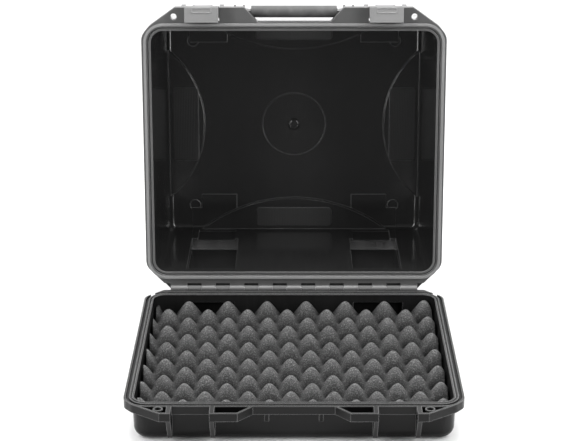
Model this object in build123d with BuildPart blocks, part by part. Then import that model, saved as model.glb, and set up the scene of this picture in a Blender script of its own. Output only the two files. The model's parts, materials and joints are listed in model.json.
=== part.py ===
from build123d import *
import os
from math import cos, radians, sin, tan

# Watertight carrying case for a small camera drone, standing open.
# The shallow lid lies on its outer face, rim up. The deep base stands behind it on the long
# rear hinge and leans back against the hinge's stop.
# Row frame: origin at the middle of the lid's outer face, +Z up, hinge towards +Y, millimetres.
# Each shell is drawn in its own frame: x across the case, s from the hinge axis towards the
# front edge, n from the parting plane into the shell's depth.

# ---- driving sizes ----------------------------------------------------------------------------
CAVITY_WIDTH = 413.2          # inside, left to right
CAVITY_LENGTH = 361.1         # inside, hinge side to latch side
CAVITY_CORNER = 18.0
HINGE_TO_CAVITY = 25.1        # hinge axis to the inside of the rear wall
LID_DEPTH = 55.0              # parting plane to the lid's outer face
BASE_DEPTH = 219.0            # parting plane to the base's outer face
OPEN_ANGLE = 95.0             # opening at the hinge's stop

LID_WALL = 2.8
LID_FLOOR = 3.0
LID_DRAFT = 2.0
LID_EDGE_RADIUS = 14.0
LID_INNER_RADIUS = 11.0
BASE_WALL = 3.0
BASE_FLOOR = 3.0
BASE_DRAFT = 2.5
BASE_EDGE_RADIUS = 10.0
BASE_INNER_RADIUS = 7.0
ROOT = 3.0                    # how far added pieces reach into the wall that carries them
CUT_PAST = 12.0               # how far wall pockets are cut past the inner wall

# rim flange
RIM_BAND = 13.4               # cavity edge to flange edge at the sides
FRONT_BAND = 13.0
EAR_REACH = 33.8              # cavity edge to the front edge of the ears
FLANGE_DEPTH = 12.0
RIM_GAP = 0.3                 # left between the closed rims by the gasket
NOTCH_HALF = 52.5             # half width of the notch under the handle
NOTCH_SLOPE = 19.1
WEB_X = 35.0                  # the two small webs under the notch
WEB_WIDTH = 5.5
WEB_REACH = 8.0
WEB_FRONT = 2.0
WEB_BACK = 19.0
EAR_END = 2.0                 # padlock eye's centre to the corner of the ear, towards the middle
CORNER_IN = 12.0
CORNER_OUT = 7.3
CORNER_BACK = 7.2
CORNER_ROUND = 20.0
REAR_CORNER = 34.0
HINGE_FLAT = 7.5              # hinge axis to the flange's rear edge

# seal between the shells, as distances outward from the cavity edge
LID_RIDGE = 2.4
LID_DRAIN = 4.6
GROOVE_IN = 6.4
GROOVE_OUT = 10.9
GROOVE_DEPTH = 5.5
DRAIN_DEPTH = 3.0
GASKET_HEIGHT = 2.6
GASKET_SIDE = 0.1
TONGUE_SIDE = 0.5             # clearance of the tongue in the groove
TONGUE_HEIGHT = 2.5
BASE_LIP = 2.9
BASE_DRAIN = 4.9
BASE_DRAIN_DEPTH = 1.6
POCKET_WALL = 2.2
POCKET_DEPTH = 9.5

# padlock eyes
PADLOCK_OUT = 10.4            # latch seat's outer rib to the eye's centre
PADLOCK_S = 20.3              # cavity edge to the eye's centre
PADLOCK_RADIUS = 4.5
PADLOCK_BOSS = 6.4

# hinge
HINGE_INSET = 36.0            # flange's side edge to the end of the hinge
HINGE_CORNER = 9.5            # end of the hinge to the corner of the flange
KNUCKLE_RADIUS = 4.0
KNUCKLE_GAP = 0.3
STRIP_CLEARANCE = 0.6         # knuckles to the strip that closes the hinge slots behind them
STRIP_BACK = 2.4              # how far the strip stands behind the hinge axis
LID_KNUCKLES = 8
END_KNUCKLE_WIDTH = 24.7
PIN_RADIUS = 2.0
PIN_RUNNING = 0.05
PIN_TIGHT = 0.02
WEB_ROOT = 1.0                # how far a knuckle's web reaches into its flange

# rear feet ribs and the wall pockets between them
FOOT_RIB_X = (85.0, 164.0)
FOOT_RIB_WIDTH = 6.0
FOOT_RIB_BACK = 5.0           # how far the ribs stand behind the hinge axis
FOOT_RIB_START = 5.7
FOOT_RIB_TOE = 4.0            # how far the lid's ribs run in past its rounded edge
BASE_RIB_SHORT = 47.0         # outer face of the base to the end of its ribs
POCKET_IN = 7.6               # how far the wall pockets go back from the cavity edge
POCKET_SKIN = 3.0
LID_POCKET_START = 12.5
LID_POCKET_SHORT = 11.0       # outer face of the lid to the end of its wall pockets
BASE_POCKET_START = 16.0
BASE_POCKET_SHORT = 57.0      # outer face of the base to the end of its wall pockets
POCKET_SLOPE = 14.0
STEP_SHORT = 12.0             # outer face of the base to the end of the shallow step below them
STEP_WIDTH = 59.0
STEP_X = 122.5
STEP_DEPTH = 2.6

# latches
LATCH_X = 132.0
SEAT_WIDTH = 49.2
LATCH_SIDE = 0.6              # clearance beside the latch in its seat
SEAT_RIB = 6.0
LID_RIB_SHORT = 7.0           # outer face of the lid to the end of its front ribs
BASE_RIB_FRONT_END = 62.0
BASE_RIB_PIN = 6.0            # rib left below the latch pin
LATCH_PIVOT_S = 23.8          # cavity edge to the latch pivot
LATCH_PIVOT_N = 26.0
LATCH_REST_ANGLE = 10.0       # swung out from latched, so the case can close
LATCH_PLATE = 3.5
LATCH_OUTER = 7.0             # pivot to the outer face
LATCH_REACH = 46.0            # pivot to the tip
LATCH_HOOK = 17.0             # pivot to the hook's inner end
LATCH_HOOK_GAP = 0.5
LATCH_CHEEK = 3.0
LATCH_CHEEK_IN = 9.5
LATCH_BARREL = 4.0
CHEEK_ROOT = 1.0              # how far the cheeks reach into the outer plate
CHEEK_FOOT = 2.0              # and into the hook
LATCH_PIN_RADIUS = 2.0
PAD_WIDTH = 29.0              # embossed pad on the latch's tip
PAD_HEIGHT = 8.0
PAD_RISE = 0.6
PAD_LINE = 1.5
PAD_CORNER = 1.5
RELEASE_WIDTH = 22.4
RELEASE_U = 7.4
RELEASE_V = -1.5
RELEASE_BARREL = 2.6
RELEASE_PIN_RADIUS = 1.2
RELEASE_TAB = 15.5
RELEASE_THICK = 2.4
RELEASE_EAR = 2.6
RELEASE_SIDE = 0.3
RELEASE_TAPER = 0.8
RELEASE_EAR_FOOT = 3.0

# handle
GRIP_HALF = 62.0
GRIP_RADIUS = 8.5
GRIP_CORE = 4.5
GRIP_FIT = 0.1
GRIP_S = 24.3                 # cavity edge to the grip's centre
GRIP_N = 26.0
HANDLE_PIVOT_N = 60.0
HANDLE_PIVOT_X = 80.0
HANDLE_ARM = 9.4
HANDLE_END = 7.0
LUG_THICK = 3.0
LUG_SIDE = 0.3
BRACKET_PLATE = 3.2
BRACKET_HALF_HEIGHT = 16.0
HANDLE_PIN_RADIUS = 2.5
SCREW_RADIUS = 2.0
SCREW_HEAD = 3.8
SCREW_HEAD_HEIGHT = 2.4
SCREW_SPREAD = 10.0
SCREW_FIT = 0.1
SCREW_HEAD_DRAFT = 12.0
PIVOT_BACK = 2.5              # grip's centre to the handle pivot, towards the hinge
ARM_END_FLAT = 0.5
ARM_OUTER_BEND = 14.0
ARM_INNER_BEND = 9.0
ARM_LOWER_BEND = 6.0
ARM_STEP = 1.0
LUG_ROOT = 1.0
LUG_INSET = 3.0
WALL_GAP = 0.02               # the brackets' backs follow the wall's draft

# soft lining, feet and vent
FOAM_SIDE = 3.6               # left between the foam and the cavity's edge
FOAM_CORNER = 15.0
FOAM_BELOW_RIM = 7.0
FOAM_EDGE = 12.5
FOOT_RADIUS = 12.0
FOOT_HEIGHT = 4.0
FOOT_DRAFT = 8.0
FOOT_INSET_X = 48.1           # cavity edge to the foot's centre, across and along
FOOT_INSET_S = 48.0
VENT_SHANK = 6.0
VENT_DOME = 9.3
VENT_DOME_HEIGHT = 5.0
VENT_DOME_FLAT = 0.5
VENT_FLANGE = 11.0
VENT_SEAL = 9.5
VENT_SEAL_HEIGHT = 1.2
VENT_FLANGE_HEIGHT = 2.3
VENT_FIT = 0.05

# relief moulded into the base's floor
PANEL_INSET = 0.4             # foot of the inner wall to the floor panel's edge
SIDE_LENS_CHORD = 119.0       # half chord and rise of the arcs, from the panel's edge
SIDE_LENS_RISE = 56.1
END_LENS_CHORD = 148.0
END_LENS_RISE = 51.1
LENS_HEIGHT = 4.5
PLATE_HEIGHT = 0.8
PLATE_CORNER = 6.0
SIDE_PLATE = (41.0, 117.0)
END_PLATE = (120.0, 30.0)
PLATE_INSET = 5.0
LENS_ROUND = 2.0
PAD_OUTER_X = 163.5           # outer edge of the corner pads
REAR_PAD = (72.0, 56.0)
FRONT_PAD = (59.0, 40.0)
CORNER_PAD_HEIGHT = 0.7
PAD_NOTCH = (16.0, 22.0)      # left out of each rear pad over its foot
FLOOR_RING = 50.0
FOOT_RING = 8.5
RING_WIDTH = 1.1
RING_HEIGHT = 0.7
FLOOR_RING_HEIGHT = 0.25

# ---- derived places ---------------------------------------------------------------------------
HALF_CAVITY = CAVITY_WIDTH / 2
CAVITY_MID = HINGE_TO_CAVITY + CAVITY_LENGTH / 2
CAVITY_FRONT = HINGE_TO_CAVITY + CAVITY_LENGTH
HALF_WIDTH = HALF_CAVITY + RIM_BAND
FRONT_EDGE = CAVITY_FRONT + FRONT_BAND
EAR_EDGE = CAVITY_FRONT + EAR_REACH
SEAT_INNER = LATCH_X - SEAT_WIDTH / 2
SEAT_OUTER = LATCH_X + SEAT_WIDTH / 2
LEAN = OPEN_ANGLE - 90
HINGE_POINT = Vector(0, CAVITY_MID, LID_DEPTH)
BASE_FLOOR_N = BASE_DEPTH - BASE_FLOOR
LID_FLOOR_N = LID_DEPTH - LID_FLOOR
HINGE_OUTER = HALF_WIDTH - HINGE_INSET
HINGE_INNER = HINGE_OUTER - END_KNUCKLE_WIDTH - KNUCKLE_GAP
KNUCKLE_PITCH = (HINGE_INNER + KNUCKLE_GAP / 2) / (LID_KNUCKLES / 2 - 0.25)
KNUCKLE_WIDTH = KNUCKLE_PITCH / 2 - KNUCKLE_GAP
LATCH_WIDTH = SEAT_WIDTH - 2 * LATCH_SIDE
LID_RIB_END = LID_DEPTH - LID_RIB_SHORT
LID_POCKET_END = LID_DEPTH - LID_POCKET_SHORT
BASE_RIB_END = BASE_DEPTH - BASE_RIB_SHORT
BASE_POCKET_END = BASE_DEPTH - BASE_POCKET_SHORT
STEP_END = BASE_DEPTH - STEP_SHORT
FOOT_X = HALF_CAVITY - FOOT_INSET_X
FOOT_S = CAVITY_LENGTH / 2 - FOOT_INSET_S
PADLOCK_X = SEAT_OUTER + SEAT_RIB + PADLOCK_OUT
PADLOCK_POINTS = [(side * PADLOCK_X, CAVITY_FRONT + PADLOCK_S) for side in (-1, 1)]


def leaning_plane(origin, lean):
    """A frame with x across, s up the standing base and n towards its floor."""
    return Plane(origin=origin, x_dir=(-1, 0, 0), z_dir=(0, cos(radians(lean)), -sin(radians(lean))))


def drift(depth):
    """How far the base's walls have come in at a depth below the parting plane."""
    return depth * tan(radians(BASE_DRAFT))


def side_of(plane):
    """The s-n plane of a shell's frame, for profiles seen from the side."""
    return Plane(origin=plane.origin, x_dir=plane.y_dir, z_dir=plane.x_dir)


LID = Plane(origin=HINGE_POINT, x_dir=(1, 0, 0), z_dir=(0, 0, -1))
BASE = leaning_plane(HINGE_POINT, LEAN)
LID_SIDE = side_of(LID)
BASE_SIDE = side_of(BASE)


# ---- shapes used by both shells ---------------------------------------------------------------
def cavity_outline(grow, mode=Mode.ADD):
    """The cavity's outline moved outward by a distance, in a shell's plan."""
    width = CAVITY_WIDTH + 2 * grow
    length = CAVITY_LENGTH + 2 * grow
    with Locations((0, CAVITY_MID)):
        RectangleRounded(width, length, CAVITY_CORNER + grow, mode=mode)


def seal_ring(inner, outer):
    """A band that follows the cavity edge between two distances outward from it."""
    cavity_outline(outer)
    cavity_outline(inner, mode=Mode.SUBTRACT)


def flange_outline():
    """Outer edge of the rim flange: front ears, latch seats, handle notch and cut rear corners."""
    right = [
        (0, FRONT_EDGE),
        (NOTCH_HALF, FRONT_EDGE),
        (NOTCH_HALF + NOTCH_SLOPE, EAR_EDGE),
        (SEAT_INNER, EAR_EDGE),
        (SEAT_INNER, FRONT_EDGE),
        (SEAT_OUTER, FRONT_EDGE),
        (SEAT_OUTER, EAR_EDGE),
        (PADLOCK_X - EAR_END, EAR_EDGE),
        (HALF_WIDTH - CORNER_IN, CAVITY_FRONT + CORNER_OUT),
        (HALF_WIDTH, CAVITY_FRONT - CORNER_BACK),
        (HALF_WIDTH, REAR_CORNER),
        (HINGE_OUTER + HINGE_CORNER, HINGE_FLAT),
        (0, HINGE_FLAT),
    ]
    left = [(-x, s) for x, s in reversed(right[1:-1])]
    Polygon(*right, *left, align=None)


def round_outer_corners(sketch):
    """Rounds the flange's four outer corners."""
    beyond = HALF_WIDTH - CORNER_IN - 0.5
    corners = [v for v in sketch.vertices() if abs(v.X) > beyond]
    fillet(corners, CORNER_ROUND)


def knuckle_row(side_plane, centres, width, bore, start):
    """Hinge knuckles: barrels round the hinge axis, each with a web to its flange."""
    with BuildPart() as row:
        for centre in centres:
            with BuildSketch(side_plane.offset(centre - width / 2)):
                Circle(KNUCKLE_RADIUS)
                with Locations(((HINGE_FLAT + WEB_ROOT) / 2, (KNUCKLE_RADIUS + start) / 2)):
                    Rectangle(HINGE_FLAT + WEB_ROOT, KNUCKLE_RADIUS - start)
                Circle(bore, mode=Mode.SUBTRACT)
            extrude(amount=width)
    return row.part


def ribs(side_plane, centres, width, profile):
    """Blocks of one side profile at several places across the case."""
    with BuildPart() as row:
        for centre in centres:
            with BuildSketch(side_plane.offset(centre - width / 2)):
                Polygon(*profile, align=None)
            extrude(amount=width)
    return row.part


def both_sides(*places):
    return [side * place for side in (-1, 1) for place in places]


LID_CENTRES = [(i - (LID_KNUCKLES - 1) / 2) * KNUCKLE_PITCH for i in range(LID_KNUCKLES)]
BASE_CENTRES = [(i - (LID_KNUCKLES - 2) / 2) * KNUCKLE_PITCH for i in range(LID_KNUCKLES - 1)]
END_CENTRES = both_sides(HINGE_OUTER - END_KNUCKLE_WIDTH / 2)
BASE_KNUCKLE_WIDTH = KNUCKLE_PITCH - KNUCKLE_WIDTH - 2 * KNUCKLE_GAP
SEAT_RIB_CENTRES = both_sides(SEAT_INNER - SEAT_RIB / 2, SEAT_OUTER + SEAT_RIB / 2)
WALL_POCKET_MID = (FOOT_RIB_X[0] + FOOT_RIB_X[1]) / 2
WALL_POCKET_WIDTH = FOOT_RIB_X[1] - FOOT_RIB_X[0] - FOOT_RIB_WIDTH
POCKET_BACK = HINGE_TO_CAVITY - POCKET_IN

os.makedirs("parts", exist_ok=True)

# ---- lid shell --------------------------------------------------------------------------------
with BuildPart() as lid_cavity:
    with BuildSketch(LID):
        cavity_outline(0)
    extrude(amount=LID_FLOOR_N, taper=LID_DRAFT)
    fillet(lid_cavity.edges().group_by(Axis.Z)[0], LID_INNER_RADIUS)

with BuildPart() as lid_shell:
    with BuildSketch(LID):
        cavity_outline(LID_WALL)
    extrude(amount=LID_DEPTH, taper=LID_DRAFT)
    fillet(lid_shell.edges().group_by(Axis.Z)[0], LID_EDGE_RADIUS)
    with BuildSketch(LID) as lid_flange:
        flange_outline()
        round_outer_corners(lid_flange)
    extrude(amount=FLANGE_DEPTH)

    # open pockets inside the front ears, with the padlock eyes standing in them
    with BuildSketch(LID):
        flange_outline()
        offset(amount=-POCKET_WALL, kind=Kind.INTERSECTION)
        cavity_outline(RIM_BAND, mode=Mode.SUBTRACT)
        with Locations((0, CAVITY_MID - EAR_REACH)):
            Rectangle(3 * HALF_WIDTH, CAVITY_LENGTH + 2 * RIM_BAND, mode=Mode.SUBTRACT)
    extrude(amount=POCKET_DEPTH, mode=Mode.SUBTRACT)
    with BuildSketch(LID):
        with Locations(*PADLOCK_POINTS):
            Circle(PADLOCK_BOSS)
    extrude(amount=FLANGE_DEPTH)

    # ribs that flank the latch seats, and two small webs under the handle notch
    lid_seat_profile = [
        (CAVITY_FRONT, 0),
        (EAR_EDGE, 0),
        (EAR_EDGE, FLANGE_DEPTH),
        (CAVITY_FRONT + FRONT_BAND / 2, LID_RIB_END),
        (CAVITY_FRONT, LID_RIB_END),
    ]
    add(ribs(LID_SIDE, SEAT_RIB_CENTRES, SEAT_RIB, lid_seat_profile))
    lid_web_profile = [
        (CAVITY_FRONT, FLANGE_DEPTH / 2),
        (CAVITY_FRONT + WEB_REACH, FLANGE_DEPTH / 2),
        (CAVITY_FRONT + WEB_REACH, FLANGE_DEPTH + WEB_FRONT),
        (CAVITY_FRONT, FLANGE_DEPTH + WEB_BACK),
    ]
    add(ribs(LID_SIDE, both_sides(WEB_X), WEB_WIDTH, lid_web_profile))

    # rear feet ribs, which also carry the open case
    lid_foot_profile = [
        (-FOOT_RIB_BACK, FOOT_RIB_START),
        (HINGE_TO_CAVITY, FOOT_RIB_START),
        (HINGE_TO_CAVITY + LID_EDGE_RADIUS + FOOT_RIB_TOE, LID_DEPTH - LID_FLOOR / 2),
        (HINGE_TO_CAVITY + LID_EDGE_RADIUS + FOOT_RIB_TOE, LID_DEPTH),
        (-FOOT_RIB_BACK, LID_DEPTH),
    ]
    add(ribs(LID_SIDE, both_sides(*FOOT_RIB_X), FOOT_RIB_WIDTH, lid_foot_profile))
    lid_bulge_profile = [
        (POCKET_BACK - POCKET_SKIN, FLANGE_DEPTH / 2),
        (HINGE_TO_CAVITY, FLANGE_DEPTH / 2),
        (HINGE_TO_CAVITY + ROOT, LID_POCKET_END + POCKET_SKIN),
        (POCKET_BACK - POCKET_SKIN, LID_POCKET_END + POCKET_SKIN),
    ]
    add(ribs(LID_SIDE, both_sides(WALL_POCKET_MID), WALL_POCKET_WIDTH + 2, lid_bulge_profile))

    add(knuckle_row(LID_SIDE, LID_CENTRES, KNUCKLE_WIDTH, PIN_RADIUS + PIN_RUNNING, 0))

    add(lid_cavity.part, mode=Mode.SUBTRACT)
    lid_pocket_profile = [
        (POCKET_BACK, LID_POCKET_START),
        (HINGE_TO_CAVITY + CUT_PAST, LID_POCKET_START),
        (HINGE_TO_CAVITY + CUT_PAST, LID_POCKET_END),
        (POCKET_BACK, LID_POCKET_END),
    ]
    wall_pockets = ribs(LID_SIDE, both_sides(WALL_POCKET_MID), WALL_POCKET_WIDTH, lid_pocket_profile)
    add(wall_pockets, mode=Mode.SUBTRACT)

    # gasket groove and drain groove round the rim, then the padlock holes
    with BuildSketch(LID):
        seal_ring(GROOVE_IN, GROOVE_OUT)
    extrude(amount=GROOVE_DEPTH, mode=Mode.SUBTRACT)
    with BuildSketch(LID):
        seal_ring(LID_RIDGE, LID_DRAIN)
    extrude(amount=DRAIN_DEPTH, mode=Mode.SUBTRACT)
    with BuildSketch(LID):
        with Locations(*PADLOCK_POINTS):
            Circle(PADLOCK_RADIUS)
    extrude(amount=FLANGE_DEPTH, mode=Mode.SUBTRACT)
lid_shell.part.label = "lid_shell"
export_step(lid_shell.part, "parts/lid_shell.step")

# ---- gasket and foam in the lid ---------------------------------------------------------------
with BuildPart() as lid_gasket:
    with BuildSketch(LID.offset(GROOVE_DEPTH - GASKET_HEIGHT)):
        seal_ring(GROOVE_IN + GASKET_SIDE, GROOVE_OUT - GASKET_SIDE)
    extrude(amount=GASKET_HEIGHT)
lid_gasket.part.label = "lid_gasket"
export_step(lid_gasket.part, "parts/lid_gasket.step")

with BuildPart() as lid_foam:
    with BuildSketch(LID.offset(FOAM_BELOW_RIM)):
        with Locations((0, CAVITY_MID)):
            RectangleRounded(CAVITY_WIDTH - 2 * FOAM_SIDE, CAVITY_LENGTH - 2 * FOAM_SIDE, FOAM_CORNER)
    extrude(amount=LID_FLOOR_N - FOAM_BELOW_RIM)
    fillet(lid_foam.edges().group_by(Axis.Z)[0], FOAM_EDGE)
lid_foam.part.label = "lid_foam"
export_step(lid_foam.part, "parts/lid_foam.step")

# ---- base shell -------------------------------------------------------------------------------
DEPTH_AXIS = Axis(BASE.origin, BASE.z_dir)
LATCH_S = CAVITY_FRONT + LATCH_PIVOT_S
SCREW_POINTS = [(x, HANDLE_PIVOT_N + shift) for x in both_sides(HANDLE_PIVOT_X)
                for shift in (-SCREW_SPREAD, SCREW_SPREAD)]
FOOT_POINTS = {
    "front_left": (FOOT_X, CAVITY_MID + FOOT_S),
    "front_right": (-FOOT_X, CAVITY_MID + FOOT_S),
    "rear_left": (FOOT_X, CAVITY_MID - FOOT_S),
    "rear_right": (-FOOT_X, CAVITY_MID - FOOT_S),
}


def lens_radius(chord, rise):
    """Radius of an arc from its half chord and its rise."""
    return (chord ** 2 + rise ** 2) / (2 * rise)


with BuildPart() as base_cavity:
    with BuildSketch(BASE):
        cavity_outline(0)
    extrude(amount=BASE_FLOOR_N, taper=BASE_DRAFT)
    fillet(base_cavity.edges().group_by(DEPTH_AXIS)[-1], BASE_INNER_RADIUS)

wall_foot = drift(BASE_FLOOR_N)
panel_width = CAVITY_WIDTH - 2 * (wall_foot + PANEL_INSET)
panel_length = CAVITY_LENGTH - 2 * (wall_foot + PANEL_INSET)
side_radius = lens_radius(SIDE_LENS_CHORD, SIDE_LENS_RISE)
end_radius = lens_radius(END_LENS_CHORD, END_LENS_RISE)
side_x = panel_width / 2 - SIDE_LENS_RISE + side_radius
end_s = panel_length / 2 - END_LENS_RISE + end_radius
side_plate_x = (panel_width - SIDE_PLATE[0]) / 2 - PLATE_INSET
end_plate_s = (panel_length - END_PLATE[1]) / 2 - PLATE_INSET
rear_pad_x = PAD_OUTER_X - REAR_PAD[0] / 2
rear_pad_s = CAVITY_MID - (panel_length - REAR_PAD[1]) / 2
front_pad_x = PAD_OUTER_X - FRONT_PAD[0] / 2
front_pad_s = CAVITY_MID + (panel_length - FRONT_PAD[1]) / 2
notch_x = PAD_OUTER_X - PAD_NOTCH[0] / 2
notch_s = rear_pad_s + (REAR_PAD[1] - PAD_NOTCH[1]) / 2

with BuildPart() as floor_lenses:
    with BuildSketch(BASE.offset(BASE_FLOOR_N - LENS_HEIGHT)):
        with Locations((-side_x, CAVITY_MID), (side_x, CAVITY_MID)):
            Circle(side_radius)
        with Locations((0, CAVITY_MID - end_s), (0, CAVITY_MID + end_s)):
            Circle(end_radius)
        with Locations((0, CAVITY_MID)):
            Rectangle(panel_width, panel_length, mode=Mode.INTERSECT)
    extrude(amount=LENS_HEIGHT + BASE_FLOOR / 2)
    lens_arcs = floor_lenses.edges().filter_by(GeomType.CIRCLE).group_by(DEPTH_AXIS)[0]
    fillet(lens_arcs, LENS_ROUND)

with BuildPart() as base_shell:
    with BuildSketch(BASE.offset(RIM_GAP)):
        cavity_outline(BASE_WALL)
    extrude(amount=BASE_DEPTH - RIM_GAP, taper=BASE_DRAFT)
    fillet(base_shell.edges().group_by(DEPTH_AXIS)[-1], BASE_EDGE_RADIUS)
    with BuildSketch(BASE.offset(RIM_GAP)) as base_flange:
        flange_outline()
        round_outer_corners(base_flange)
    extrude(amount=FLANGE_DEPTH - RIM_GAP)

    # ribs that hold the latch pins
    base_seat_profile = [
        (CAVITY_FRONT - ROOT, RIM_GAP),
        (EAR_EDGE, RIM_GAP),
        (EAR_EDGE, LATCH_PIVOT_N + BASE_RIB_PIN),
        (CAVITY_FRONT + FRONT_BAND / 2, BASE_RIB_FRONT_END),
        (CAVITY_FRONT - ROOT, BASE_RIB_FRONT_END),
    ]
    add(ribs(BASE_SIDE, SEAT_RIB_CENTRES, SEAT_RIB, base_seat_profile))

    # rear feet ribs: their lower ends meet the lid's ribs and stop the hinge
    base_foot_profile = [
        (-FOOT_RIB_BACK, FOOT_RIB_START),
        (HINGE_TO_CAVITY, FOOT_RIB_START),
        (HINGE_TO_CAVITY + drift(BASE_RIB_END), BASE_RIB_END + HINGE_TO_CAVITY),
        (HINGE_TO_CAVITY + drift(BASE_RIB_END) - 2 * ROOT, BASE_RIB_END + HINGE_TO_CAVITY),
        (-FOOT_RIB_BACK, BASE_RIB_END),
    ]
    add(ribs(BASE_SIDE, both_sides(*FOOT_RIB_X), FOOT_RIB_WIDTH, base_foot_profile))
    wall_at_pocket = HINGE_TO_CAVITY + drift(BASE_POCKET_END)
    wall_at_step = HINGE_TO_CAVITY + drift(STEP_END)
    base_bulge_profile = [
        (POCKET_BACK - POCKET_SKIN, FLANGE_DEPTH / 2),
        (HINGE_TO_CAVITY, FLANGE_DEPTH / 2),
        (wall_at_pocket, BASE_POCKET_END + POCKET_SKIN),
        (HINGE_TO_CAVITY - POCKET_SKIN, BASE_POCKET_END + POCKET_SKIN),
        (POCKET_BACK - POCKET_SKIN, BASE_POCKET_END - POCKET_SLOPE),
    ]
    add(ribs(BASE_SIDE, both_sides(WALL_POCKET_MID), WALL_POCKET_WIDTH + 2, base_bulge_profile))
    step_bulge_profile = [
        (wall_at_pocket - STEP_DEPTH - POCKET_SKIN, BASE_POCKET_END),
        (wall_at_pocket, BASE_POCKET_END),
        (wall_at_step, STEP_END + POCKET_SKIN),
        (wall_at_step - STEP_DEPTH - POCKET_SKIN, STEP_END + POCKET_SKIN),
    ]
    add(ribs(BASE_SIDE, both_sides(STEP_X), STEP_WIDTH + 2 * POCKET_SKIN, step_bulge_profile))

    with BuildSketch(BASE.offset(KNUCKLE_RADIUS + STRIP_CLEARANCE)):
        Polygon((HINGE_OUTER, -STRIP_BACK), (HINGE_OUTER + HINGE_CORNER, HINGE_FLAT),
                (-HINGE_OUTER - HINGE_CORNER, HINGE_FLAT), (-HINGE_OUTER, -STRIP_BACK), align=None)
    extrude(amount=FLANGE_DEPTH - KNUCKLE_RADIUS - STRIP_CLEARANCE)
    add(knuckle_row(BASE_SIDE, BASE_CENTRES, BASE_KNUCKLE_WIDTH, PIN_RADIUS + PIN_TIGHT, RIM_GAP))
    add(knuckle_row(BASE_SIDE, END_CENTRES, END_KNUCKLE_WIDTH, PIN_RADIUS + PIN_TIGHT, RIM_GAP))

    add(base_cavity.part, mode=Mode.SUBTRACT)
    base_pocket_profile = [
        (POCKET_BACK, BASE_POCKET_START),
        (HINGE_TO_CAVITY + CUT_PAST, BASE_POCKET_START),
        (HINGE_TO_CAVITY + CUT_PAST, BASE_POCKET_END),
        (wall_at_pocket, BASE_POCKET_END),
        (POCKET_BACK, BASE_POCKET_END - POCKET_SLOPE),
    ]
    wall_pockets = ribs(BASE_SIDE, both_sides(WALL_POCKET_MID), WALL_POCKET_WIDTH, base_pocket_profile)
    add(wall_pockets, mode=Mode.SUBTRACT)
    step_profile = [
        (wall_at_pocket - STEP_DEPTH, BASE_POCKET_END - POCKET_SLOPE),
        (HINGE_TO_CAVITY + CUT_PAST, BASE_POCKET_END - POCKET_SLOPE),
        (HINGE_TO_CAVITY + CUT_PAST, STEP_END),
        (wall_at_step, STEP_END),
        (wall_at_step - STEP_DEPTH, STEP_END - STEP_DEPTH),
    ]
    add(ribs(BASE_SIDE, both_sides(STEP_X), STEP_WIDTH, step_profile), mode=Mode.SUBTRACT)

    # sealing tongue and the drain groove inside it
    with BuildSketch(BASE.offset(-TONGUE_HEIGHT)):
        seal_ring(GROOVE_IN + TONGUE_SIDE, GROOVE_OUT - TONGUE_SIDE)
    extrude(amount=TONGUE_HEIGHT + RIM_GAP)
    with BuildSketch(BASE.offset(RIM_GAP)):
        seal_ring(BASE_LIP, BASE_DRAIN)
    extrude(amount=BASE_DRAIN_DEPTH, mode=Mode.SUBTRACT)

    # four lens-shaped plateaus on the floor with a low plate on each, then pads and rings
    add(floor_lenses.part)
    with BuildSketch(BASE.offset(BASE_FLOOR_N - LENS_HEIGHT - PLATE_HEIGHT)):
        with Locations((-side_plate_x, CAVITY_MID), (side_plate_x, CAVITY_MID)):
            RectangleRounded(SIDE_PLATE[0], SIDE_PLATE[1], PLATE_CORNER)
        with Locations((0, CAVITY_MID - end_plate_s), (0, CAVITY_MID + end_plate_s)):
            RectangleRounded(END_PLATE[0], END_PLATE[1], PLATE_CORNER)
    extrude(amount=PLATE_HEIGHT)
    with BuildSketch(BASE.offset(BASE_FLOOR_N - CORNER_PAD_HEIGHT)):
        with Locations((-rear_pad_x, rear_pad_s), (rear_pad_x, rear_pad_s)):
            Rectangle(*REAR_PAD)
        with Locations((-front_pad_x, front_pad_s), (front_pad_x, front_pad_s)):
            Rectangle(*FRONT_PAD)
        with Locations((-notch_x, notch_s), (notch_x, notch_s)):
            Rectangle(*PAD_NOTCH, mode=Mode.SUBTRACT)
    extrude(amount=CORNER_PAD_HEIGHT)
    with BuildSketch(BASE.offset(BASE_FLOOR_N - FLOOR_RING_HEIGHT)):
        with Locations((0, CAVITY_MID)):
            Circle(FLOOR_RING + RING_WIDTH / 2)
            Circle(FLOOR_RING - RING_WIDTH / 2, mode=Mode.SUBTRACT)
    extrude(amount=FLOOR_RING_HEIGHT)
    with BuildSketch(BASE.offset(BASE_FLOOR_N - RING_HEIGHT)):
        with Locations(*FOOT_POINTS.values()):
            Circle(FOOT_RING + RING_WIDTH / 2)
            Circle(FOOT_RING - RING_WIDTH / 2, mode=Mode.SUBTRACT)
    extrude(amount=RING_HEIGHT)

    # holes: padlock eyes, latch pins, handle screws and the vent
    with BuildSketch(BASE.offset(RIM_GAP)):
        with Locations(*PADLOCK_POINTS):
            Circle(PADLOCK_RADIUS)
    extrude(amount=FLANGE_DEPTH, mode=Mode.SUBTRACT)
    with BuildSketch(BASE_SIDE):
        with Locations((LATCH_S, LATCH_PIVOT_N)):
            Circle(LATCH_PIN_RADIUS + PIN_TIGHT)
    extrude(amount=HALF_WIDTH, both=True, mode=Mode.SUBTRACT)
    front_wall_plane = Plane(origin=BASE.from_local_coords(Vector(0, CAVITY_FRONT, 0)),
                             x_dir=BASE.x_dir, z_dir=BASE.y_dir)
    with BuildSketch(front_wall_plane.offset(-2 * BASE_WALL)):
        with Locations(*[(x, -n) for x, n in SCREW_POINTS]):
            Circle(SCREW_RADIUS + SCREW_FIT)
    extrude(amount=4 * BASE_WALL, mode=Mode.SUBTRACT)
    with BuildSketch(BASE.offset(BASE_FLOOR_N)):
        with Locations((0, CAVITY_MID)):
            Circle(VENT_SHANK + VENT_FIT)
    extrude(amount=BASE_FLOOR, mode=Mode.SUBTRACT)
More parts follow.
